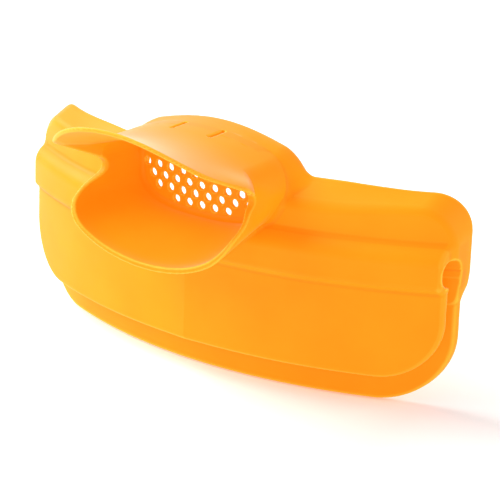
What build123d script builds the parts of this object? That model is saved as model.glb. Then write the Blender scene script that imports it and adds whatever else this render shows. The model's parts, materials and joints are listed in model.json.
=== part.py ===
"""Clip-on silicone pour spout and strainer for a cooking pot, in millimetres.

Frame: the origin is the centre of the pot's rolled rim at the middle of the part, +Z is up,
-Y points out of the pot (the pouring direction) and +X is the right hand seen from the front.
The pot's own axis is the vertical line through (0, RIM_RADIUS, 0), and every wing section is
swept round it. Section coordinates are u, the distance inwards from the outer skirt's outer
face, and z.
"""

import os
from math import cos, radians, sin

from build123d import *

# Driving dimensions of the clip section
RIM_RADIUS = 149.0
RIM_INSET = 3.0
SKIRT_THICKNESS = 1.8
SLOT_WIDTH = 3.8
BACK_THICKNESS = 2.3
BULB_RADIUS = 4.0
BULGE_PROTRUSION = 1.6
GROOVE_RECESS = 1.2
WING_THICKNESS = 9.3

# Heights above the rim's centre
OUTER_BOTTOM = -30.0
INNER_BOTTOM = -38.0
CREASE_HEIGHT = -4.75
GROOVE_HEIGHT = 7.5
WALL_FRONT_TOP = 17.3
WALL_BACK_TOP = 20.3
BACK_STEP_TOP = 1.0
BACK_STEP_BOTTOM = -4.0

# Front view of the wings
HALF_WIDTH = 72.3
SWEEP_ANGLE = 34.0
OUTER_CORNER = 16.0
INNER_CORNER = 20.0
TOP_CORNER = 8.0
FLEX_X = 38.0
FLEX_GAP = 1.2
DEEP = 200.0

# Spout shell
SHELL = 1.8
MOUTH_Y = -20.8
ROOT_Y = 0.5
MOUTH_HALF_WIDTH = 28.8
MOUTH_AXIS_HEIGHT = 11.5
LIP_BOTTOM = -4.2
ROOT_HALF_WIDTH = 28.8
ROOT_AXIS_HEIGHT = 18.7
ROOT_BOTTOM = 0.0
NOTCH_Y = -7.3
SCOOP_TOP = 17.0
JAW_START_Y = -18.0
JAW_START_HEIGHT = 8.0

# Hood: its visor flares outwards and upwards, and ends in a round peak seen from above
TIP_X = 34.6
TIP_Y = -17.0
TIP_HEIGHT = 23.6
PEAK_Y = -34.6
PEAK_HEIGHT = 38.1
PEAK_UNDERSIDE = 30.0
HOOD_FOOT_Y = 0.0
ROOF_BACK_Y = 12.6
# Arches of the hood from back to peak: (y, half width, shoulder height, top height)
ARCHES = (
    (ROOF_BACK_Y, 28.6, 21.4, 29.6),
    (NOTCH_Y, MOUTH_HALF_WIDTH, 23.0, 29.8),
    (TIP_Y, TIP_X, TIP_HEIGHT, 31.4),
    (PEAK_Y, TIP_X, 29.0, PEAK_HEIGHT),
)
SLOT_SPACING = 13.2
ROOF_SLOT_LENGTH = 6.8
ROOF_SLOT_WIDTH = 1.2
ROOF_SLOT_Y = 1.2

# Strainer panel and the cheeks beside it
PANEL_FRONT_U = 6.6
PANEL_THICKNESS = 1.6
PANEL_HALF_WIDTH = 23.5
PANEL_BOTTOM = 5.2
PANEL_TOP = 25.8
CHEEK_TOP = 22.0
HOLE_RADIUS = 1.05
HOLE_PITCH = 4.5
HOLE_ROW_STEP = 2.78
LOWEST_ROW_HEIGHT = 7.7
ROW_COUNTS = (5, 8, 9, 10)

OUTER_RADIUS = RIM_RADIUS + RIM_INSET
POT_AXIS = Axis((0, RIM_RADIUS, 0), (0, 0, 1))


def section_plane(angle):
    """Vertical half plane through the pot's axis; local x is the radius and local y is z."""
    outward = (sin(radians(angle)), -cos(radians(angle)), 0)
    inward_normal = (-cos(radians(angle)), -sin(radians(angle)), 0)
    return Plane(origin=(0, RIM_RADIUS, 0), x_dir=outward, z_dir=inward_normal)


def swept(points):
    """Solid swept round the pot's axis from a closed outline of (u, z) points."""
    with BuildPart() as ring:
        with BuildSketch(section_plane(-SWEEP_ANGLE)):
            with BuildLine():
                Polyline([(OUTER_RADIUS - u, z) for u, z in points], close=True)
            make_face()
        revolve(axis=POT_AXIS, revolution_arc=2 * SWEEP_ANGLE)
    return ring.part


def front_window(low_x, high_x, low_z, high_z, corner=0.0, at_top=False):
    """Block seen from the front as a rectangle, with its outer corner rounded if asked."""
    with BuildPart() as window:
        with BuildSketch(Plane.XZ):
            with Locations(((low_x + high_x) / 2, (low_z + high_z) / 2)):
                Rectangle(high_x - low_x, high_z - low_z)
            if corner:
                right = vertices().group_by(Axis.X)[-1]
                chosen = right.sort_by(Axis.Y)[-1] if at_top else right.sort_by(Axis.Y)[0]
                fillet(chosen, corner)
        extrude(amount=DEEP, both=True)
    return window.part


OUTER_SKIRT_SECTION = [
    (0, OUTER_BOTTOM),
    (SKIRT_THICKNESS, OUTER_BOTTOM),
    (SKIRT_THICKNESS, CREASE_HEIGHT),
    (0, CREASE_HEIGHT),
]
INNER_FACE = SKIRT_THICKNESS + SLOT_WIDTH
INNER_SKIRT_SECTION = [
    (INNER_FACE, INNER_BOTTOM),
    (INNER_FACE + BACK_THICKNESS, INNER_BOTTOM),
    (INNER_FACE + BACK_THICKNESS, CREASE_HEIGHT),
    (INNER_FACE, CREASE_HEIGHT),
]
UPPER_WALL_SECTION = [
    (GROOVE_RECESS, GROOVE_HEIGHT),
    (WING_THICKNESS, GROOVE_HEIGHT),
    (WING_THICKNESS, WALL_BACK_TOP),
    (GROOVE_RECESS, WALL_FRONT_TOP),
]


def channel_ring(top_height, hollow=True):
    """Rim channel: rounded outer bulge, keyhole bulb for the rolled rim and the slot below."""
    bulge_face = OUTER_RADIUS + BULGE_PROTRUSION
    back_face = OUTER_RADIUS - WING_THICKNESS
    skirt_back = OUTER_RADIUS - INNER_FACE - BACK_THICKNESS
    with BuildPart() as ring:
        with BuildSketch(section_plane(-SWEEP_ANGLE)):
            with BuildLine():
                Polyline(
                    (OUTER_RADIUS, CREASE_HEIGHT),
                    (bulge_face, CREASE_HEIGHT + 2 * BULGE_PROTRUSION),
                    (bulge_face, top_height - 2 * BULGE_PROTRUSION),
                    (OUTER_RADIUS - GROOVE_RECESS, top_height),
                    (back_face, top_height),
                    (back_face, BACK_STEP_TOP),
                    (skirt_back, BACK_STEP_BOTTOM),
                    (skirt_back, CREASE_HEIGHT),
                    close=True,
                )
            make_face()
            if hollow:
                with Locations((RIM_RADIUS, 0)):
                    Circle(BULB_RADIUS, mode=Mode.SUBTRACT)
                slot_middle = OUTER_RADIUS - SKIRT_THICKNESS - SLOT_WIDTH / 2
                with Locations((slot_middle, CREASE_HEIGHT / 2)):
                    Rectangle(SLOT_WIDTH, -CREASE_HEIGHT, mode=Mode.SUBTRACT)
        revolve(axis=POT_AXIS, revolution_arc=2 * SWEEP_ANGLE)
    return ring.part


outer_skirt_ring = swept(OUTER_SKIRT_SECTION)
inner_skirt_ring = swept(INNER_SKIRT_SECTION)
upper_wall_ring = swept(UPPER_WALL_SECTION)
wing_channel_ring = channel_ring(GROOVE_HEIGHT)
centre_channel_ring = channel_ring(PANEL_BOTTOM)

WING_START = FLEX_X + FLEX_GAP / 2
CENTRE_END = FLEX_X - FLEX_GAP / 2


def save(piece, name):
    piece.part.label = name
    export_step(piece.part, f"parts/{name}.step")


os.makedirs("parts", exist_ok=True)

# Right wing: skirts, rim channel and splash wall, each outboard of the flex line
with BuildPart() as right_outer_skirt:
    add(outer_skirt_ring)
    add(
        front_window(WING_START, HALF_WIDTH, OUTER_BOTTOM, CREASE_HEIGHT, OUTER_CORNER),
        mode=Mode.INTERSECT,
    )
with BuildPart() as right_inner_skirt:
    add(inner_skirt_ring)
    add(
        front_window(WING_START, HALF_WIDTH, INNER_BOTTOM, CREASE_HEIGHT, INNER_CORNER),
        mode=Mode.INTERSECT,
    )
with BuildPart() as right_rim_channel:
    add(wing_channel_ring)
    add(front_window(WING_START, HALF_WIDTH, CREASE_HEIGHT, GROOVE_HEIGHT), mode=Mode.INTERSECT)
with BuildPart() as right_upper_wall:
    add(upper_wall_ring)
    add(
        front_window(WING_START, HALF_WIDTH, GROOVE_HEIGHT, WALL_BACK_TOP, TOP_CORNER, True),
        mode=Mode.INTERSECT,
    )

# Left wing: mirror image of the right wing
with BuildPart() as left_outer_skirt:
    mirror(right_outer_skirt.part, about=Plane.YZ)
with BuildPart() as left_inner_skirt:
    mirror(right_inner_skirt.part, about=Plane.YZ)
with BuildPart() as left_rim_channel:
    mirror(right_rim_channel.part, about=Plane.YZ)
with BuildPart() as left_upper_wall:
    mirror(right_upper_wall.part, about=Plane.YZ)

# Centre of the clip: two front skirt halves that meet at the seam, back skirt and channel
with BuildPart() as centre_skirt_right:
    add(outer_skirt_ring)
    add(front_window(0, CENTRE_END, OUTER_BOTTOM, CREASE_HEIGHT), mode=Mode.INTERSECT)
with BuildPart() as centre_skirt_left:
    mirror(centre_skirt_right.part, about=Plane.YZ)
with BuildPart() as centre_inner_skirt:
    add(inner_skirt_ring)
    add(
        front_window(-CENTRE_END, CENTRE_END, INNER_BOTTOM, CREASE_HEIGHT),
        mode=Mode.INTERSECT,
    )
with BuildPart() as centre_rim_channel:
    add(centre_channel_ring)
    add(
        front_window(-CENTRE_END, CENTRE_END, CREASE_HEIGHT, PANEL_BOTTOM),
        mode=Mode.INTERSECT,
    )

def arch_section(y, half_width, shoulder_height, top_height, inset):
    """Hood outline in the plane at y: upright sides with an arched roof between the shoulders."""
    side = half_width - inset
    shoulder = shoulder_height - inset
    with BuildSketch(Plane.XZ.offset(-y)) as section:
        with BuildLine():
            Polyline((-side, shoulder), (-side, PANEL_BOTTOM), (side, PANEL_BOTTOM), (side, shoulder))
            ThreePointArc((side, shoulder), (0, top_height - inset), (-side, shoulder))
        make_face()
    return section.sketch


def arch(inset):
    """Solid lofted through the hood's outlines from back to visor, shrunk by the inset."""
    sections = [arch_section(*outline, inset) for outline in ARCHES]
    with BuildPart() as body:
        loft(sections, ruled=True)
    return body.part


arch_cavity = arch(SHELL)

# Strainer panel: curved plate with a staggered field of drain holes
with BuildPart() as strainer_panel:
    add(
        swept(
            [
                (PANEL_FRONT_U, PANEL_BOTTOM),
                (PANEL_FRONT_U + PANEL_THICKNESS, PANEL_BOTTOM),
                (PANEL_FRONT_U + PANEL_THICKNESS, PANEL_TOP),
                (PANEL_FRONT_U, PANEL_TOP),
            ]
        )
    )
    add(
        front_window(-PANEL_HALF_WIDTH, PANEL_HALF_WIDTH, PANEL_BOTTOM, PANEL_TOP),
        mode=Mode.INTERSECT,
    )
    add(arch_cavity, mode=Mode.INTERSECT)
    with BuildSketch(Plane.XZ):
        for row, count in enumerate(ROW_COUNTS):
            row_height = LOWEST_ROW_HEIGHT + row * HOLE_ROW_STEP
            with Locations((0, row_height)):
                with GridLocations(HOLE_PITCH, 1, count, 1):
                    Circle(HOLE_RADIUS)
    extrude(amount=-DEEP, mode=Mode.SUBTRACT)

# Cheeks: solid blocks that close the space between the strainer and each splash wall
cheek_ring = swept(
    [
        (GROOVE_RECESS, PANEL_BOTTOM),
        (WING_THICKNESS, PANEL_BOTTOM),
        (WING_THICKNESS, CHEEK_TOP),
        (GROOVE_RECESS, CHEEK_TOP),
    ]
)
with BuildPart() as right_cheek:
    add(cheek_ring)
    add(
        front_window(PANEL_HALF_WIDTH, CENTRE_END, PANEL_BOTTOM, CHEEK_TOP),
        mode=Mode.INTERSECT,
    )
with BuildPart() as left_cheek:
    mirror(right_cheek.part, about=Plane.YZ)


def trough_section(y, half_width, axis_height, bottom, inset):
    """Trough outline in the plane at y: half ellipse below, straight sides above."""
    reach = half_width - inset
    with BuildSketch(Plane.XZ.offset(-y)) as section:
        with BuildLine():
            EllipticalCenterArc(
                (0, axis_height),
                reach,
                axis_height - bottom - inset,
                start_angle=180,
                arc_size=180,
            )
            Polyline(
                (reach, axis_height), (reach, CHEEK_TOP), (-reach, CHEEK_TOP), (-reach, axis_height)
            )
        make_face()
    return section.sketch


def trough(inset):
    """Solid lofted between the scoop's root and mouth outlines, shrunk by the inset."""
    root = trough_section(ROOT_Y, ROOT_HALF_WIDTH, ROOT_AXIS_HEIGHT, ROOT_BOTTOM, inset)
    mouth = trough_section(MOUTH_Y, MOUTH_HALF_WIDTH, MOUTH_AXIS_HEIGHT, LIP_BOTTOM, inset)
    with BuildPart() as body:
        loft([root, mouth])
    return body.part


# Scoop: lower jaw of the spout, a tapered trough whose rim rises to the corner of the mouth
with BuildPart() as scoop:
    add(trough(0))
    add(trough(SHELL), mode=Mode.SUBTRACT)
    with BuildSketch(Plane.YZ):
        with BuildLine():
            Polyline(
                (ROOT_Y, SCOOP_TOP),
                (NOTCH_Y, SCOOP_TOP),
                (JAW_START_Y, JAW_START_HEIGHT),
                (MOUTH_Y, JAW_START_HEIGHT - (JAW_START_Y - MOUTH_Y)),
                (MOUTH_Y, LIP_BOTTOM),
                (ROOT_Y, LIP_BOTTOM),
                close=True,
            )
        make_face()
    extrude(amount=DEEP, both=True, mode=Mode.INTERSECT)
    add(cheek_ring, mode=Mode.SUBTRACT)
    add(channel_ring(PANEL_BOTTOM, hollow=False), mode=Mode.SUBTRACT)


# Hood: arched visor over the mouth whose roof carries on over the strainer, with two vents
with BuildPart() as hood:
    add(arch(0))
    add(arch_cavity, mode=Mode.SUBTRACT)
    with BuildSketch(Plane.YZ):
        with BuildLine():
            Polyline(
                (HOOD_FOOT_Y, SCOOP_TOP),
                (HOOD_FOOT_Y, CHEEK_TOP),
                (ROOF_BACK_Y, CHEEK_TOP),
                (ROOF_BACK_Y, PEAK_HEIGHT),
                (PEAK_Y, PEAK_HEIGHT),
                (PEAK_Y, PEAK_UNDERSIDE),
                (TIP_Y, TIP_HEIGHT - SHELL),
                (NOTCH_Y, SCOOP_TOP),
                close=True,
            )
        make_face()
    extrude(amount=DEEP, both=True, mode=Mode.INTERSECT)
    with BuildSketch(Plane.XY):
        with BuildLine():
            ThreePointArc((-TIP_X, TIP_Y), (0, PEAK_Y), (TIP_X, TIP_Y))
            Polyline((TIP_X, TIP_Y), (TIP_X, ROOF_BACK_Y), (-TIP_X, ROOF_BACK_Y), (-TIP_X, TIP_Y))
        make_face()
    extrude(amount=DEEP, mode=Mode.INTERSECT)
    with BuildSketch(Plane.XY):
        with Locations((0, ROOF_SLOT_Y)):
            with GridLocations(SLOT_SPACING, 1, 2, 1):
                SlotOverall(ROOF_SLOT_LENGTH, ROOF_SLOT_WIDTH, rotation=90)
    extrude(amount=DEEP, mode=Mode.SUBTRACT)

for name, piece in (
    ("scoop", scoop),
    ("hood", hood),
    ("strainer_panel", strainer_panel),
    ("left_cheek", left_cheek),
    ("right_cheek", right_cheek),
    ("centre_rim_channel", centre_rim_channel),
    ("centre_inner_skirt", centre_inner_skirt),
    ("centre_skirt_left", centre_skirt_left),
    ("centre_skirt_right", centre_skirt_right),
    ("left_outer_skirt", left_outer_skirt),
    ("left_inner_skirt", left_inner_skirt),
    ("left_rim_channel", left_rim_channel),
    ("left_upper_wall", left_upper_wall),
    ("right_outer_skirt", right_outer_skirt),
    ("right_inner_skirt", right_inner_skirt),
    ("right_rim_channel", right_rim_channel),
    ("right_upper_wall", right_upper_wall),
):
    save(piece, name)
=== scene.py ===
"""Silicone clip-on pot strainer spout: hand-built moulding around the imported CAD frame.

The whole moulding is one signed-distance field in millimetres. It is polygonised once, cut into
closed pieces along its creases, and each piece stands for the CAD node of the same name.
Field coordinates: x, y and z as in the CAD, with x taken as positive on both sides, and u, how
far a point lies behind the outer skirt's outer face, towards the pot's axis.
"""

import json
from math import cos, radians, sin

import bmesh
import bpy
import numpy as np
from mathutils import Matrix, Vector

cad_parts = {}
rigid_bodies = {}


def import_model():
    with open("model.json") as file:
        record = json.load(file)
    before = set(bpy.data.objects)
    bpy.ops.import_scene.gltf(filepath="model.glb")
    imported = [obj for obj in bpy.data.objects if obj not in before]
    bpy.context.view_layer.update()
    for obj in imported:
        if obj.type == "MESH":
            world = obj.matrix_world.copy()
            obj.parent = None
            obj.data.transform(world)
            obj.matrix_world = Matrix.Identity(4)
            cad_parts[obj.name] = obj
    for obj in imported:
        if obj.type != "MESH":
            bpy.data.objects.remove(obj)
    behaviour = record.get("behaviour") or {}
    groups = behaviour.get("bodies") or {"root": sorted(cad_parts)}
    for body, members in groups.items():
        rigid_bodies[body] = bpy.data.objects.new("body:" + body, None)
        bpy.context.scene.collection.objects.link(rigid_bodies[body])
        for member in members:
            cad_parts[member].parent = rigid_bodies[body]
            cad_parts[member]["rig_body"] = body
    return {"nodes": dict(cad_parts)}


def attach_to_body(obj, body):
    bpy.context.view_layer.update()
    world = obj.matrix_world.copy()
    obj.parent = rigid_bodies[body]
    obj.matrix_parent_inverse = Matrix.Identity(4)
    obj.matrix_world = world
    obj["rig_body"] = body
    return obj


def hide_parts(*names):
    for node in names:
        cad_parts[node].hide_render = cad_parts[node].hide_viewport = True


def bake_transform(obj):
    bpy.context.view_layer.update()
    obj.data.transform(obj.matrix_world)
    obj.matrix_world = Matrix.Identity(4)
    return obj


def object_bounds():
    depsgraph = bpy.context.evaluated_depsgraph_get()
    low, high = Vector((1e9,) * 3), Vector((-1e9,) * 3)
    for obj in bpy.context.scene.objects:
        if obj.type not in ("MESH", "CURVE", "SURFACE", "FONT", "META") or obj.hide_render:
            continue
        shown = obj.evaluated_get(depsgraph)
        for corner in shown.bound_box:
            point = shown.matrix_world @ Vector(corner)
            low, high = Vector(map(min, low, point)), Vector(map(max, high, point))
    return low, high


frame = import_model()
cad_low, cad_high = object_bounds()

MM = 0.001

# Skirts that hang on both sides of the pot's wall
RIM_RADIUS = 149.0
OUTER_RADIUS = 152.0
HALF_WIDTH = 72.3
LEAN = 0.05
EDGE = 0.85
SKIRT_THICKNESS = 2.1
SLOT_END = 5.3
BACK_SKIRT_END = 7.9
OUTER_BOTTOM = -29.6
INNER_BOTTOM = -37.9
OUTER_CORNER = 16.0
INNER_CORNER = 19.0
SEAM_RIDGE = 0.40
SEAM_SPREAD = 4.0

# Bulge over the rim
CREASE_HEIGHT = -4.75
GROOVE_HEIGHT = 7.5
BULGE_PROTRUSION = 1.6
BULGE_TOP_CORNER = 4.8
BULGE_CORNER = 2.0
BULGE_END_EDGE = 1.0

# Keyhole that the rolled rim slides into
BULB_RADIUS = 3.0
BULB_INSET = 2.3
BULB_HEIGHT = 0.0
BULB_HALF_STRAIGHT = 0.65
KEYHOLE_EDGE = EDGE / 2

# Splash wall
GROOVE_RECESS = 2.2
GROOVE_FILLET = 1.0
WING_THICKNESS = 10.2
BODY_HALF_WIDTH = 73.1
TAPER_TOP = -1.0
WALL_FRONT_TOP = 16.8
WALL_TOP_SLOPE = 0.42
WALL_TOP_EDGE = 1.6
WALL_BACK_FOOT = -10.0
WALL_FOOT_CORNER = 6.0
TOP_CORNER = 9.5
DIP = 1.6
DIP_EXTRA_SLOPE = 0.34
DIP_START_X = 62.0
DIP_FULL_X = 38.0

# Spout
SHELL = 1.8
ROOT_Y = -1.0
MOUTH_Y = -20.8
JAW_HALF_WIDTH = 29.1
ROOT_AXIS_HEIGHT = 18.7
MOUTH_AXIS_HEIGHT = 11.5
ROOT_BOTTOM = 0.0
LIP_BOTTOM = -4.2
NOTCH_Y = -4.9
NOTCH_HEIGHT = 17.25
UPPER_RIM_SLOPE = 0.50
LOWER_RIM_SLOPE = 0.62
NOTCH_RADIUS = 3.8
LIP_CORNER = 4.0
RIM_EDGE = 0.5
PINCH = 2.2
PINCH_Y = -8.0
PINCH_HEIGHT = 16.0
PINCH_SPREAD = 3.5
FLARE = 0.69
FLARE_START_Y = -8.5
FLARE_START_HEIGHT = 14.0
FLARE_FULL_HEIGHT = 18.5
ROUND_POWER = 2.0

# Hood
TIP_X = 34.6
TIP_Y = -16.9
TIP_LIFT = 2.0
TIP_SPREAD = 6.0
PEAK_Y = -34.6
PEAK_RISE = 8.3
RISE_START_Y = -2.0
ROOF_TOP = 29.95
BACK_ARCH = 0.0085
BACK_ARCH_Y = 0.0
VISOR_ARCH = 0.0080
VISOR_ARCH_Y = -20.0
VISOR_SWEEP_POWER = 3
VISOR_STEEPNESS = 1.5
ROOF_BACK_Y = 13.2
BACK_SLOPE = 0.8
BACK_SLOPE_Y = 6.0
BACK_SLOPE_HEIGHT = 12.0
BACK_NARROWING = 1.9
BACK_NARROWING_START_Y = 2.0
BACK_NARROWING_END_Y = 12.0
SHOULDER = 6.0
SHOULDER_END_Y = -6.0
VISOR_SHOULDER = 2.6
VISOR_SHOULDER_Y = -18.0
SHELL_END_Y = -10.0
VISOR_SHELL = 1.3
VISOR_SHELL_Y = -30.0
VENT_X = 6.6
VENT_Y = 2.0
VENT_HALF_LENGTH = 2.8
VENT_RADIUS = 0.62
VENT_EDGE = 0.35
VENT_BOTTOM = 27.2

# Fillet between spout and clip, small in front of the clip and wide behind it
CREASE_FILLET = 1.6
CREASE_FILLET_DEPTH = 2.5
BACK_FILLET = 7.0
BACK_FILLET_DEPTH = 8.0

# Cavity and strainer panel
PANEL_FRONT = 6.4
PANEL_THICKNESS = 1.1
PANEL_Y = 3.6
PANEL_HALF_WIDTH = 22.6
PANEL_POWER = 2.9
PANEL_AXIS_HEIGHT = 14.0
PANEL_FILLET = 1.6
NARROWING_START_Y = -13.0
ROUND_FLOOR_Y = -14.0
BACK_HALF_WIDTH = 24.9
WIDENING_START_Y = PANEL_Y + 1.0
WIDENING_END_Y = PANEL_Y + 4.0
FLOOR_HEIGHT = 4.6
FLOOR_SLOPE_START_Y = 1.0
LIP_FLOOR = -2.4
LIP_FLOOR_Y = -19.0
INNER_SHOULDER_SHARE = 0.6

# Drain holes, in rows from the lowest up; each count is the number of holes in a row
HOLE_RADIUS = 1.08
HOLE_EDGE = 0.25
HOLE_PITCH = 4.5
HOLE_ROW_STEP = 2.85
LOWEST_ROW_HEIGHT = 7.4
ROW_COUNTS = (5, 8, 9, 10)
HOLES_FRONT_Y = 1.5
HOLES_BACK_Y = 9.5

# Cuts between the pieces, among them the cut where each wing starts
FLEX_X = 38.0
SCOOP_CUT_Y = -4.65
CHEEK_CUT_X = 23.5
CHANNEL_CUT_HEIGHT = 5.2
HOOD_CUT_SLOPE = 0.25

# Mesh; with this margin no plane of the grid falls on a flat face of the moulding
VOXEL = 0.5
MARGIN = 1.37
SETTLE_ROUNDS = 4
GRADIENT_STEP = 0.02
LEAST_STEEPNESS = 0.3
BEND_STEP = 0.4
CUT_TOLERANCE = 1e-4

# Colours of the silicone, including a painted edge highlight, painted crease shade and a painted glow
CLOUD_STOPS = (0.3, 0.7)
CLOUD_COLOURS = ((0.97, 0.240, 0.003, 1), (0.99, 0.268, 0.005, 1))
# painted highlight: lighter colour laid on convex edges and rims
EDGE_HIGHLIGHT_PAINT = (1.0, 0.50, 0.05, 1)
# painted shade: deeper orange laid into creases and concave corners
CREASE_SHADE_PAINT = (0.95, 0.16, 0.002, 1)
SHEEN_TINT = (1.0, 0.86, 0.72, 1)
# painted glow: faint orange emission that lifts the shade in cavities, standing in for light through
# the silicone
PAINTED_GLOW = (1.0, 0.40, 0.008, 1)

# Noise in the silicone, in cycles per metre
CLOUD_SCALE = 55.0
PATCH_SCALE = 130.0
GRAIN_SCALE = 2600.0
GRAIN_DEPTH = 0.1 * MM

# Stage, in degrees and metres, the lens in millimetres; azimuth 0 faces the mouth of the spout
FLOOR_HALF_SIZE = 4.0
FLOOR_GAP = 0.4 * MM
FLOOR_GREY = (0.93, 0.93, 0.93, 1)
WHITE = (1.0, 1.0, 1.0)
WARM_WHITE = (1.0, 0.98, 0.95)
CAMERA_AZIMUTH = 38.25
CAMERA_ELEVATION = 20.38
CAMERA_DISTANCE = 0.632
CAMERA_TARGET = Vector((13.6, 7.7, -3.75)) * MM
CAMERA_LENS = 166.5
SENSOR_WIDTH = 36.0


def smooth(value, start, end):
    """0 at the start, 1 at the end, an S curve between them, and level beyond both."""
    t = np.clip((value - start) / (end - start), 0.0, 1.0)
    return t * t * (3.0 - 2.0 * t)


def mix(first, second, share):
    return first + (second - first) * share


def intersect(a, b, radius):
    """Intersection of two fields with a convex edge rounded to the radius."""
    corner = np.hypot(np.maximum(a + radius, 0.0), np.maximum(b + radius, 0.0))
    return np.minimum(-radius, np.maximum(a, b)) + corner


def unite(a, b, radius):
    """Union of two fields with a concave edge filleted to the radius."""
    return -intersect(-a, -b, radius)


def cut_away(a, b, radius):
    return intersect(a, -b, radius)


def slab(value, low, high):
    return np.abs(value - (low + high) / 2) - (high - low) / 2


def superellipse(a, b, half_a, half_b, power):
    """Distance estimate to a superellipse round the origin."""
    na, nb = np.abs(a) / half_a + 1e-6, np.abs(b) / half_b + 1e-6
    k = (na**power + nb**power) ** (1.0 / power)
    slope = np.hypot((na / k) ** (power - 1) / half_a, (nb / k) ** (power - 1) / half_b)
    return (k - 1.0) / slope


def trough(x, z, half_width, axis_height, bottom, power):
    """Distance to upright sides that run into a rounded floor below the axis height."""
    below = np.minimum(z - axis_height, 0.0)
    return superellipse(x, below, half_width, axis_height - bottom, power)


def inward(x, y):
    """Distance inwards from the upright cylinder of the outer skirt's outer face."""
    return OUTER_RADIUS - np.hypot(x, y - RIM_RADIUS)


def leaning(x, y, z):
    """The same distance on a cone, so that the clip leans with the pot's wall."""
    return inward(x, y) - LEAN * z


def skirt_field(x, z, depth, start, end, bottom, corner):
    """One curved skirt that hangs from the rim, with its lower corner rounded."""
    outline = intersect(x - HALF_WIDTH, bottom - z, corner)
    return intersect(slab(depth, start, end), intersect(outline, z, EDGE), EDGE)


def bulge_field(x, z, u):
    """Bulge over the rim, from the crease under it up to the groove below the splash wall."""
    front = intersect(-BULGE_PROTRUSION - u, z - GROOVE_HEIGHT, BULGE_TOP_CORNER)
    section = intersect(np.maximum(front, u - BACK_SKIRT_END), CREASE_HEIGHT - z, BULGE_CORNER)
    return intersect(section, x - HALF_WIDTH, BULGE_END_EDGE)


def wall_field(x, z, u):
    """Splash wall: its top slopes up to the back and dips towards the spout."""
    section = intersect(slab(u, GROOVE_RECESS, WING_THICKNESS), WALL_BACK_FOOT - z, WALL_FOOT_CORNER)
    near_spout = smooth(x, DIP_START_X, DIP_FULL_X)
    front_top = WALL_FRONT_TOP - DIP * near_spout
    slope = WALL_TOP_SLOPE + DIP_EXTRA_SLOPE * near_spout
    top = (z - front_top - (u - GROOVE_RECESS) * slope) / np.hypot(1.0, slope)
    end = x - mix(HALF_WIDTH, BODY_HALF_WIDTH, smooth(z, WALL_BACK_FOOT, TAPER_TOP))
    return intersect(section, intersect(top, end, TOP_CORNER), WALL_TOP_EDGE)


def clip_field(x, z, u):
    """Skirts, rim bulge and splash wall, swept round the pot and rounded at both ends."""
    seam = SEAM_RIDGE * np.exp(-x / SEAM_SPREAD)
    outer = skirt_field(x, z, u + seam, 0.0, SKIRT_THICKNESS, OUTER_BOTTOM, OUTER_CORNER)
    inner = skirt_field(x, z, u, SLOT_END, BACK_SKIRT_END, INNER_BOTTOM, INNER_CORNER)
    body = unite(bulge_field(x, z, u), wall_field(x, z, u), GROOVE_FILLET)
    return unite(unite(body, outer, EDGE), inner, EDGE)


def keyhole_field(u, z):
    """Bulb for the rolled rim and the slot under it."""
    straight = np.maximum(np.abs(z - BULB_HEIGHT) - BULB_HALF_STRAIGHT, 0.0)
    bulb = np.hypot(u - BULB_INSET, straight) - BULB_RADIUS
    slot = np.maximum(slab(u, SKIRT_THICKNESS, SLOT_END), z)
    return unite(bulb, slot, KEYHOLE_EDGE)


def roof_height(x, y):
    """Arched roof that flares upwards towards the peak of the visor."""
    rise = np.clip((RISE_START_Y - y) / (RISE_START_Y - PEAK_Y), 0.0, None)
    arch = mix(BACK_ARCH, VISOR_ARCH, smooth(y, BACK_ARCH_Y, VISOR_ARCH_Y))
    reach = ((x - TIP_X) ** 2 + (y - TIP_Y) ** 2) / (2 * TIP_SPREAD**2)
    return ROOF_TOP + PEAK_RISE * rise**2 - arch * x**2 + TIP_LIFT * np.exp(-reach)


def roof_field(x, y, z):
    return (z - roof_height(x, y)) / np.sqrt(1.0 + (2 * BACK_ARCH * x) ** 2)


def flank_half_width(y, z):
    """Half width of the spout: pinched at the notch and flared at the visor's tips."""
    reach = ((y - PINCH_Y) ** 2 + (z - PINCH_HEIGHT) ** 2) / (2 * PINCH_SPREAD**2)
    pinch = PINCH * np.exp(-reach)
    flared = smooth(z, FLARE_START_HEIGHT, FLARE_FULL_HEIGHT)
    flare = FLARE * np.maximum(FLARE_START_Y - y, 0.0) * flared
    narrowing = BACK_NARROWING * smooth(y, BACK_NARROWING_START_Y, BACK_NARROWING_END_Y)
    return JAW_HALF_WIDTH - pinch + flare - narrowing


def shoulder_radius(y):
    """Rounding between flank and roof, soft at the back and tighter along the visor."""
    return mix(SHOULDER, VISOR_SHOULDER, smooth(y, SHOULDER_END_Y, VISOR_SHOULDER_Y))


def shell_thickness(y):
    return mix(SHELL, VISOR_SHELL, smooth(y, SHELL_END_Y, VISOR_SHELL_Y))


def spout_field(x, y, z):
    """Outer form of the spout before it is hollowed."""
    t = np.clip((ROOT_Y - y) / (ROOT_Y - MOUTH_Y), 0.0, 1.0)
    axis_height = mix(ROOT_AXIS_HEIGHT, MOUTH_AXIS_HEIGHT, t)
    bottom = mix(ROOT_BOTTOM, LIP_BOTTOM, t)
    flank = trough(x, z, flank_half_width(y, z), axis_height, bottom, ROUND_POWER)
    form = intersect(flank, roof_field(x, y, z), shoulder_radius(y))
    sloping = y - BACK_SLOPE_Y - (z - BACK_SLOPE_HEIGHT) * BACK_SLOPE
    back = np.maximum(y - ROOF_BACK_Y, sloping / np.hypot(1.0, BACK_SLOPE))
    return intersect(form, back, EDGE)


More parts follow.
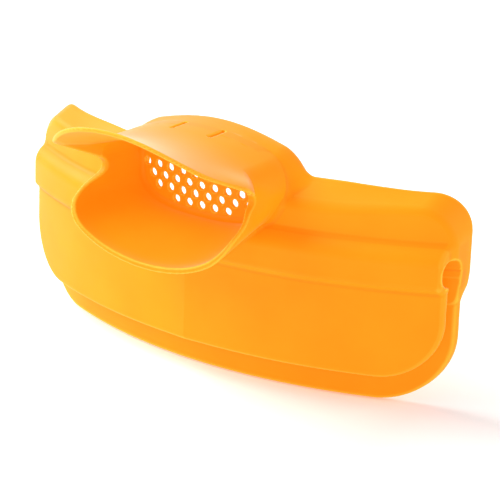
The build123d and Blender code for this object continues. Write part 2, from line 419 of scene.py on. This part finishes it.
def mouth_field(x, y, z):
    """Everything in front of the rim: the notch, the lip's front and the visor's round edge."""
    forward = NOTCH_Y - y
    upper = (z - NOTCH_HEIGHT - UPPER_RIM_SLOPE * forward) / np.hypot(1.0, UPPER_RIM_SLOPE)
    lower = (NOTCH_HEIGHT - LOWER_RIM_SLOPE * forward - z) / np.hypot(1.0, LOWER_RIM_SLOPE)
    jaw_front = unite(lower, y - MOUTH_Y, LIP_CORNER)
    notch = intersect(upper, jaw_front, NOTCH_RADIUS)
    visor_edge = PEAK_Y + (TIP_Y - PEAK_Y) * (x / TIP_X) ** VISOR_SWEEP_POWER
    steepness = (VISOR_STEEPNESS * x / TIP_X) ** 2
    return np.minimum(notch, (y - visor_edge) / np.hypot(1.0, steepness))


def cavity_field(x, y, z):
    """Inside of the spout, from the mouth through the panel to the open back."""
    shell = shell_thickness(y)
    to_panel = smooth(y, NARROWING_START_Y, PANEL_Y)
    behind = smooth(y, WIDENING_START_Y, WIDENING_END_Y)
    half_width = mix(flank_half_width(y, z) - SHELL, PANEL_HALF_WIDTH, to_panel)
    half_width = mix(half_width, BACK_HALF_WIDTH, behind)
    axis_height = mix(PANEL_AXIS_HEIGHT, MOUTH_AXIS_HEIGHT, smooth(y, PANEL_Y, MOUTH_Y))
    floor = mix(FLOOR_HEIGHT, LIP_FLOOR, smooth(y, FLOOR_SLOPE_START_Y, LIP_FLOOR_Y))
    power = mix(PANEL_POWER, ROUND_POWER, smooth(y, PANEL_Y, ROUND_FLOOR_Y))
    side = trough(x, z, half_width, axis_height, floor, power)
    roof = roof_field(x, y, z) + shell
    return intersect(side, roof, shoulder_radius(y) - INNER_SHOULDER_SHARE * shell)


def holes_field(x, z):
    """Staggered field of drain holes, as one distance to the nearest hole's wall."""
    nearest = np.full(np.broadcast(x, z).shape, np.inf)
    for row, count in enumerate(ROW_COUNTS):
        row_height = LOWEST_ROW_HEIGHT + row * HOLE_ROW_STEP
        for column in range(count):
            hole_x = (column - (count - 1) / 2) * HOLE_PITCH
            if hole_x > -HOLE_RADIUS:
                nearest = np.minimum(nearest, np.hypot(x - hole_x, z - row_height))
    return nearest - HOLE_RADIUS


def vents_field(x, y, z):
    """Short slot through the hood's roof on each side of the middle."""
    along = np.maximum(np.abs(y - VENT_Y) - VENT_HALF_LENGTH, 0.0)
    return np.maximum(np.hypot(x - VENT_X, along) - VENT_RADIUS, VENT_BOTTOM - z)


def moulding(x, y, z):
    """Signed distance to the finished moulding, negative inside the silicone."""
    x = np.abs(x)
    u = leaning(x, y, z)
    spout = cut_away(spout_field(x, y, z), mouth_field(x, y, z), RIM_EDGE)
    to_back = smooth(u, CREASE_FILLET_DEPTH, BACK_FILLET_DEPTH)
    solid = unite(clip_field(x, z, u), spout, mix(CREASE_FILLET, BACK_FILLET, to_back))
    cavity = cavity_field(x, y, z)
    hollow = cut_away(solid, cavity, RIM_EDGE)
    holes = holes_field(x, z)
    panel = slab(inward(x, y), PANEL_FRONT, PANEL_FRONT + PANEL_THICKNESS)
    panel = cut_away(np.maximum(panel, cavity - RIM_EDGE), holes, HOLE_EDGE)
    body = unite(hollow, panel, PANEL_FILLET)
    body = np.maximum(body, -np.maximum(holes, slab(y, HOLES_FRONT_Y, HOLES_BACK_Y)))
    body = cut_away(body, vents_field(x, y, z), VENT_EDGE)
    return cut_away(body, keyhole_field(u, z), KEYHOLE_EDGE)


def gradient(points):
    """Direction of steepest ascent of the moulding's field, and its steepness."""
    slopes = []
    for shift in np.eye(3) * GRADIENT_STEP:
        slopes.append(moulding(*(points + shift).T) - moulding(*(points - shift).T))
    vector = np.stack(slopes, axis=1) / (2 * GRADIENT_STEP)
    steepness = np.linalg.norm(vector, axis=1, keepdims=True)
    return vector / np.maximum(steepness, 1e-6), np.maximum(steepness, LEAST_STEEPNESS)


def bend(points):
    """How sharply the surface turns: positive on convex edges, negative in creases."""
    total = -6.0 * moulding(*points.T)
    for shift in np.eye(3) * BEND_STEP:
        total += moulding(*(points + shift).T) + moulding(*(points - shift).T)
    return total / BEND_STEP**2


def sampled_field():
    """The moulding's field on a regular grid, and the grid's coordinates."""
    half_count = int(np.ceil((BODY_HALF_WIDTH + MARGIN) / VOXEL))
    half_x = np.arange(half_count + 1) * VOXEL
    back_radius = OUTER_RADIUS - WING_THICKNESS - LEAN * ROOF_TOP
    back_y = RIM_RADIUS - np.sqrt(back_radius**2 - BODY_HALF_WIDTH**2)
    ys = np.arange(PEAK_Y - MARGIN, back_y + MARGIN, VOXEL)
    zs = np.arange(INNER_BOTTOM - MARGIN, ROOF_TOP + PEAK_RISE + MARGIN, VOXEL)
    layers = [moulding(x, ys[:, None], zs[None, :]) for x in half_x]
    half = np.stack(layers).astype(np.float32)
    values = np.concatenate([half[:0:-1], half])
    return values, np.concatenate([-half_x[:0:-1], half_x]), ys, zs


def crossed_cells(inside, corners):
    """Grid cells that the surface crosses, and an array that gives each one's number."""
    shape = tuple(n - 1 for n in inside.shape)
    count = np.zeros(shape, np.int8)
    for i, j, k in corners:
        count += inside[i : i + shape[0], j : j + shape[1], k : k + shape[2]]
    cells = np.argwhere((count > 0) & (count < len(corners)))
    number = np.full(shape, -1, np.int32)
    number[tuple(cells.T)] = np.arange(len(cells))
    return cells, number


def cell_centres(values, cells, corners):
    """Mean of the points where the surface crosses each cell's edges, in grid steps."""
    total = np.zeros((len(cells), 3))
    hits = np.zeros(len(cells))
    for a in corners:
        for b in corners:
            if sum(b) - sum(a) != 1 or any(q < p for p, q in zip(a, b)):
                continue
            value_a = values[tuple((cells + a).T)].astype(float)
            value_b = values[tuple((cells + b).T)].astype(float)
            crossed = (value_a < 0) != (value_b < 0)
            share = np.where(crossed, value_a / np.where(crossed, value_a - value_b, 1.0), 0.0)
            point = np.array(a) + share[:, None] * (np.array(b) - np.array(a))
            total += point * crossed[:, None]
            hits += crossed
    return cells + total / hits[:, None]


def quads_across(inside, number, axis):
    """One quad round each grid edge along the axis that the surface crosses."""
    first, second = [n for n in range(3) if n != axis]
    low = np.moveaxis(inside, axis, 0)[:-1]
    high = np.moveaxis(inside, axis, 0)[1:]
    crossing = np.argwhere(low != high)
    leaving = low[tuple(crossing.T)]
    edge = np.empty((len(crossing), 3), int)
    edge[:, axis], edge[:, first], edge[:, second] = crossing.T
    ring = []
    for first_step, second_step in ((0, 0), (-1, 0), (-1, -1), (0, -1)):
        cell = edge.copy()
        cell[:, first] += first_step
        cell[:, second] += second_step
        ring.append(number[tuple(cell.T)])
    ring = np.stack(ring, axis=1)
    outward = leaving if axis != 1 else ~leaving
    ring[~outward] = ring[~outward][:, ::-1]
    return ring


def surface_net(values, xs, ys, zs):
    """Quad mesh of the zero surface: one vertex in each cell that the surface crosses."""
    inside = values < 0
    corners = [(i, j, k) for i in (0, 1) for j in (0, 1) for k in (0, 1)]
    cells, number = crossed_cells(inside, corners)
    start = np.array([xs[0], ys[0], zs[0]])
    points = start + cell_centres(values, cells, corners) * VOXEL
    quads = [quads_across(inside, number, axis) for axis in range(3)]
    return points, np.concatenate(quads)


def settle(points):
    """Moves each vertex on to the exact zero surface."""
    for _ in range(SETTLE_ROUNDS):
        normal, steepness = gradient(points)
        distance = moulding(*points.T)[:, None] / steepness
        points = points - normal * np.clip(distance, -VOXEL / 2, VOXEL / 2)
    return points


def whole_mesh():
    """The moulding as one closed bmesh in millimetres, with a layer that marks cut faces."""
    points, quads = surface_net(*sampled_field())
    points = settle(points)
    mesh = bpy.data.meshes.new("moulding")
    mesh.from_pydata(points.tolist(), [], quads.tolist())
    body = bmesh.new()
    body.from_mesh(mesh)
    body.faces.layers.int.new("cut")
    bpy.data.meshes.remove(mesh)
    return body


def halves(body, point, normal):
    """Cuts a closed body by a plane into two closed bodies: the one behind and the one ahead."""
    parts = []
    for side in (Vector(normal), -Vector(normal)):
        part = body.copy()
        bmesh.ops.bisect_plane(
            part,
            geom=part.verts[:] + part.edges[:] + part.faces[:],
            dist=CUT_TOLERANCE,
            plane_co=point,
            plane_no=side,
            clear_outer=True,
        )
        rim = [edge for edge in part.edges if edge.is_boundary]
        filled = bmesh.ops.triangle_fill(part, use_beauty=True, edges=rim, normal=side)
        layer = part.faces.layers.int["cut"]
        for item in filled["geom"]:
            if isinstance(item, bmesh.types.BMFace):
                item[layer] = 1
                if item.normal.dot(side) < 0:
                    item.normal_flip()
        parts.append(part)
    body.free()
    return parts


def only(body, chosen):
    """Copy of a body with just the vertices whose positions chosen() picks."""
    part = body.copy()
    rest = [vert for vert in part.verts if not chosen(vert.co)]
    bmesh.ops.delete(part, geom=rest, context="VERTS")
    return part


def in_outer_skirt(point):
    return leaning(point.x, point.y, point.z) < (SKIRT_THICKNESS + SLOT_END) / 2


def in_inner_skirt(point):
    return not in_outer_skirt(point)


def wing_pieces(body, side):
    """The four closed pieces of one wing, by the name of the CAD node that each stands for."""
    skirts, upper = halves(body, (0, 0, CREASE_HEIGHT), (0, 0, 1))
    channel, wall = halves(upper, (0, 0, GROOVE_HEIGHT), (0, 0, 1))
    return {
        f"{side}_outer_skirt": only(skirts, in_outer_skirt),
        f"{side}_inner_skirt": only(skirts, in_inner_skirt),
        f"{side}_rim_channel": channel,
        f"{side}_upper_wall": wall,
    }


def centre_pieces(body):
    """The closed pieces of the spout's body, by the name of the CAD node that each stands for."""
    skirts, upper = halves(body, (0, 0, CREASE_HEIGHT), (0, 0, 1))
    front = only(skirts, in_outer_skirt)
    back = only(skirts, in_inner_skirt)
    skirt_left, skirt_right = halves(front, (0, 0, 0), (1, 0, 0))
    lower, hood = halves(upper, (0, NOTCH_Y, NOTCH_HEIGHT), (0, -HOOD_CUT_SLOPE, 1))
    scoop, rest = halves(lower, (0, SCOOP_CUT_Y, 0), (0, 1, 0))
    channel, rest = halves(rest, (0, 0, CHANNEL_CUT_HEIGHT), (0, 0, 1))
    left_cheek, rest = halves(rest, (-CHEEK_CUT_X, 0, 0), (1, 0, 0))
    panel, right_cheek = halves(rest, (CHEEK_CUT_X, 0, 0), (1, 0, 0))
    return {
        "scoop": scoop,
        "hood": hood,
        "strainer_panel": panel,
        "left_cheek": left_cheek,
        "right_cheek": right_cheek,
        "centre_rim_channel": channel,
        "centre_inner_skirt": back,
        "centre_skirt_left": skirt_left,
        "centre_skirt_right": skirt_right,
    }


def all_pieces():
    """The moulding cut into its closed pieces, by the name of each piece's CAD node."""
    left, rest = halves(whole_mesh(), (-FLEX_X, 0, 0), (1, 0, 0))
    centre, right = halves(rest, (FLEX_X, 0, 0), (1, 0, 0))
    return centre_pieces(centre) | wing_pieces(left, "left") | wing_pieces(right, "right")


def finished_object(name, body):
    """Mesh object in metres whose shading follows the field, so no cut shows as an edge."""
    layer = body.faces.layers.int["cut"]
    body.normal_update()
    body.verts.index_update()
    points = np.array([vert.co for vert in body.verts])
    normals, _ = gradient(points)
    corner_normals = []
    for face in body.faces:
        face.smooth = True
        if face[layer]:
            corner_normals.extend([face.normal.copy()] * len(face.verts))
        else:
            corner_normals.extend(normals[vert.index] for vert in face.verts)
    mesh = bpy.data.meshes.new(name)
    body.to_mesh(mesh)
    body.free()
    mesh.transform(Matrix.Scale(MM, 4))
    mesh.normals_split_custom_set([tuple(normal) for normal in corner_normals])
    mesh.attributes.new("bend", "FLOAT", "POINT").data.foreach_set("value", bend(points))
    piece = bpy.data.objects.new(name, mesh)
    bpy.context.scene.collection.objects.link(piece)
    return piece


def attach(piece, node):
    """Ties a piece of the spout's body to that body and bakes any other piece's transform into its
    mesh.
    """
    node_body = frame["nodes"][node]["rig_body"]
    if node_body == "spout":
        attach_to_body(piece, "spout")
    else:
        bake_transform(piece)
    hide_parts(node)


def set_inputs(node, values):
    for name, value in values.items():
        node.inputs[name].default_value = value


def noise(tree, coordinates, scale, detail):
    texture = tree.nodes.new("ShaderNodeTexNoise")
    set_inputs(texture, {"Scale": scale, "Detail": detail})
    tree.links.new(coordinates, texture.inputs["Vector"])
    return texture.outputs["Fac"]


def map_range(tree, value, limits):
    node = tree.nodes.new("ShaderNodeMapRange")
    set_inputs(node, limits)
    tree.links.new(value, node.inputs["Value"])
    return node.outputs["Result"]


def clouded_orange(tree, coordinates):
    """Base colour with a faint cloudiness."""
    ramp = tree.nodes.new("ShaderNodeValToRGB")
    for stop, position, colour in zip(ramp.color_ramp.elements, CLOUD_STOPS, CLOUD_COLOURS):
        stop.position = position
        stop.color = colour
    tree.links.new(noise(tree, coordinates, CLOUD_SCALE, 3.0), ramp.inputs["Fac"])
    return ramp.outputs["Color"]


def tinted(tree, colour, tint, limits):
    """Colour that moves towards the tint as the mesh's bend attribute passes the limits; used to
    paint highlights on convex edges and shade in creases.
    """
    turn = tree.nodes.new("ShaderNodeAttribute")
    turn.attribute_name = "bend"
    mixer = tree.nodes.new("ShaderNodeMixRGB")
    mixer.inputs["Color2"].default_value = tint
    tree.links.new(map_range(tree, turn.outputs["Fac"], limits), mixer.inputs["Fac"])
    tree.links.new(colour, mixer.inputs["Color1"])
    return mixer.outputs["Color"]


def facing_up(tree, limits):
    """Share that grows as the surface turns its face upwards."""
    geometry = tree.nodes.new("ShaderNodeNewGeometry")
    normal = tree.nodes.new("ShaderNodeSeparateXYZ")
    tree.links.new(geometry.outputs["Normal"], normal.inputs["Vector"])
    return map_range(tree, normal.outputs["Z"], limits)


def fine_grain(tree, coordinates):
    bump = tree.nodes.new("ShaderNodeBump")
    set_inputs(bump, {"Strength": 0.05, "Distance": GRAIN_DEPTH})
    tree.links.new(noise(tree, coordinates, GRAIN_SCALE, 2.0), bump.inputs["Height"])
    return bump.outputs["Normal"]


def silicone():
    """Satin orange silicone with painted highlights on its edges, painted shade deepening its
    creases, extra sheen on upward faces as a painted highlight, and a faint painted orange glow.
    """
    material = bpy.data.materials.new("silicone_orange")
    material.use_nodes = True
    tree = material.node_tree
    shader = tree.nodes["Principled BSDF"]
    coordinates = tree.nodes.new("ShaderNodeTexCoord").outputs["Object"]
    colour = clouded_orange(tree, coordinates)
    # painted highlight on convex edges, picked by the bend attribute
    colour = tinted(tree, colour, EDGE_HIGHLIGHT_PAINT, {"From Min": 0.5, "From Max": 1.8, "To Max": 0.7})
    # painted shade in creases, picked by the bend attribute
    colour = tinted(tree, colour, CREASE_SHADE_PAINT, {"From Min": -0.1, "From Max": -1.0, "To Max": 0.75})
    patches = noise(tree, coordinates, PATCH_SCALE, 4.0)
    roughness = map_range(tree, patches, {"To Min": 0.42, "To Max": 0.54})
    # painted highlight: sheen weight grows as the surface faces up, so tops such as the hood look
    # paler
    painted_top_sheen = facing_up(tree, {"From Min": -0.3, "To Min": 0.1, "To Max": 0.75})
    tree.links.new(colour, shader.inputs["Base Color"])
    tree.links.new(roughness, shader.inputs["Roughness"])
    tree.links.new(fine_grain(tree, coordinates), shader.inputs["Normal"])
    tree.links.new(painted_top_sheen, shader.inputs["Sheen Weight"])
    set_inputs(shader, {"Specular IOR Level": 0.10, "Sheen Roughness": 0.3, "Sheen Tint": SHEEN_TINT})
    # painted glow: orange emission that lifts shaded areas
    set_inputs(shader, {"Emission Color": PAINTED_GLOW, "Emission Strength": 0.29})
    return material


def floor_material():
    material = bpy.data.materials.new("pale_floor")
    material.use_nodes = True
    shader = material.node_tree.nodes["Principled BSDF"]
    set_inputs(shader, {"Base Color": FLOOR_GREY, "Roughness": 0.8})
    set_inputs(shader, {"Emission Color": (*WHITE, 1), "Emission Strength": 0.2})
    return material


def make_floor():
    size = FLOOR_HALF_SIZE
    height = cad_low.z - FLOOR_GAP
    corners = [(-size, -size), (size, -size), (size, size), (-size, size)]
    mesh = bpy.data.meshes.new("floor")
    mesh.from_pydata([(x, y, height) for x, y in corners], [], [(0, 1, 2, 3)])
    mesh.materials.append(floor_material())
    floor = bpy.data.objects.new("floor", mesh)
    bpy.context.scene.collection.objects.link(floor)


def direction(azimuth, elevation):
    """Unit vector from the object towards a viewer at these angles."""
    a, e = radians(azimuth), radians(elevation)
    return Vector((sin(a) * cos(e), -cos(a) * cos(e), sin(e)))


def look_at(obj, target):
    obj.rotation_mode = "QUATERNION"
    obj.rotation_quaternion = (target - obj.location).to_track_quat("-Z", "Y")


def make_light(name, azimuth, elevation, distance, size, power, colour):
    """Square soft light that looks at the middle of the object."""
    data = bpy.data.lights.new(name, "AREA")
    data.shape = "SQUARE"
    data.size = size
    data.energy = power
    data.color = colour
    light = bpy.data.objects.new(name, data)
    light.location = direction(azimuth, elevation) * distance
    look_at(light, Vector((0, 0, 0)))
    bpy.context.scene.collection.objects.link(light)


def make_camera():
    """Camera in front and to the right, where mouth, wing and keyhole all show."""
    data = bpy.data.cameras.new("camera")
    data.lens = CAMERA_LENS
    data.sensor_width = SENSOR_WIDTH
    camera = bpy.data.objects.new("camera", data)
    camera.location = CAMERA_TARGET + direction(CAMERA_AZIMUTH, CAMERA_ELEVATION) * CAMERA_DISTANCE
    look_at(camera, CAMERA_TARGET)
    bpy.context.scene.collection.objects.link(camera)
    bpy.context.scene.camera = camera


def make_world():
    world = bpy.data.worlds.new("studio")
    world.use_nodes = True
    background = world.node_tree.nodes["Background"]
    set_inputs(background, {"Color": (*WHITE, 1), "Strength": 0.33})
    bpy.context.scene.world = world


silicone_material = silicone()
for node_name, piece_body in all_pieces().items():
    new_piece = finished_object(f"{node_name}_moulding", piece_body)
    new_piece.data.materials.append(silicone_material)
    attach(new_piece, node_name)

make_floor()
make_world()
make_light("key", azimuth=-80, elevation=38, distance=1.2, size=0.9, power=22.0, colour=WARM_WHITE)
make_light("front", azimuth=-42, elevation=30, distance=1.3, size=0.6, power=5.2, colour=WHITE)
make_light("fill", azimuth=112, elevation=20, distance=1.3, size=1.0, power=7.0, colour=WHITE)
make_camera()
bpy.context.scene.view_settings.view_transform = "Standard"
